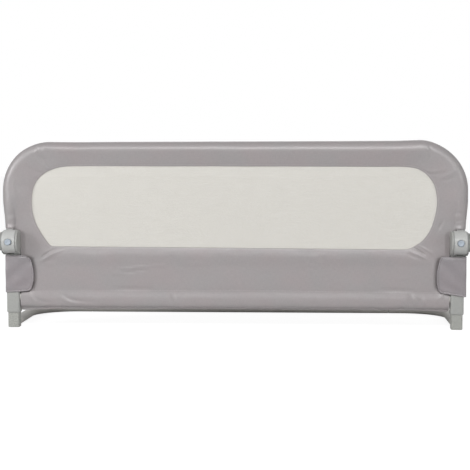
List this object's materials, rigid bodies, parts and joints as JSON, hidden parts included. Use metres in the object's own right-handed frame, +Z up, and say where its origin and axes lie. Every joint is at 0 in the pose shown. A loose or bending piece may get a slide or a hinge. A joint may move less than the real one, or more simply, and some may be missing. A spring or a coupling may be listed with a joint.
{
  "type": "bed guard rail",
  "caption": "Folding bed guard rail with a padded fabric cover, a mesh window, locking hinges with release buttons and a tube base that goes under the mattress.",
  "frame": {"origin": "centre of the footprint, on the surface that the feet and the base tubes stand on", "axes": "+X along the rail to the right as seen from the room, +Y under the mattress, +Z up"},
  "size_m": [1.0996, 0.3598, 0.4391],
  "materials": {
    "painted_tube": "satin powder coat",
    "foot_plastic": "fine speckled texture",
    "casing_plastic": "satin moulded",
    "knuckle_plastic": "satin moulded",
    "button_plastic": "soft gloss",
    "bare_steel": "zinc plated",
    "padding_foam": "closed cell foam",
    "cover_fabric": "fine plain weave",
    "flap_fabric": "fine plain weave",
    "mesh_fabric": "fine knitted mesh"
  },
  "bodies": {
    "lower_frame": {"left_base_arm": "painted_tube", "right_base_arm": "painted_tube", "base_cross_tube": "painted_tube", "lower_cross_bar": "painted_tube", "left_foot": "foot_plastic", "right_foot": "foot_plastic", "left_foot_screw": "bare_steel", "right_foot_screw": "bare_steel", "left_leg_casing": "casing_plastic", "right_leg_casing": "casing_plastic", "left_hinge_cap": "casing_plastic", "right_hinge_cap": "casing_plastic", "left_pivot_pin": "bare_steel", "right_pivot_pin": "bare_steel", "left_lock_hub": "bare_steel", "right_lock_hub": "bare_steel", "cover_lower": "cover_fabric", "left_leg_flap": "flap_fabric", "right_leg_flap": "flap_fabric"},
    "upper_frame": {"left_knuckle": "knuckle_plastic", "right_knuckle": "knuckle_plastic", "left_knuckle_front": "knuckle_plastic", "right_knuckle_front": "knuckle_plastic", "left_upper_tube": "painted_tube", "right_upper_tube": "painted_tube", "top_tube": "painted_tube", "left_tube_screw": "bare_steel", "right_tube_screw": "bare_steel", "left_foam": "padding_foam", "right_foam": "padding_foam", "top_foam": "padding_foam", "cover_upper": "cover_fabric", "mesh_window": "mesh_fabric", "left_button_spring": "bare_steel", "right_button_spring": "bare_steel"},
    "left_button_unit": {"left_button": "button_plastic", "left_lock_slider": "bare_steel"},
    "right_button_unit": {"right_button": "button_plastic", "right_lock_slider": "bare_steel"}
  },
  "joints": [
    {"name": "rail_fold", "type": "hinge", "parent": "lower_frame", "child": "upper_frame", "pos_m": [0, -0.15, 0.204], "axis": [1, 0, 0], "range_deg": [0, 180]},
    {"name": "left_button_press", "type": "slide", "parent": "upper_frame", "child": "left_button_unit", "axis": [0, 1, 0], "range_m": [0, 0.004], "stiffness_N_per_m": 600, "springref_m": -0.003, "deforming": ["left_button_spring"]},
    {"name": "right_button_press", "type": "slide", "parent": "upper_frame", "child": "right_button_unit", "axis": [0, 1, 0], "range_m": [0, 0.004], "stiffness_N_per_m": 600, "springref_m": -0.003, "deforming": ["right_button_spring"]}
  ]
}
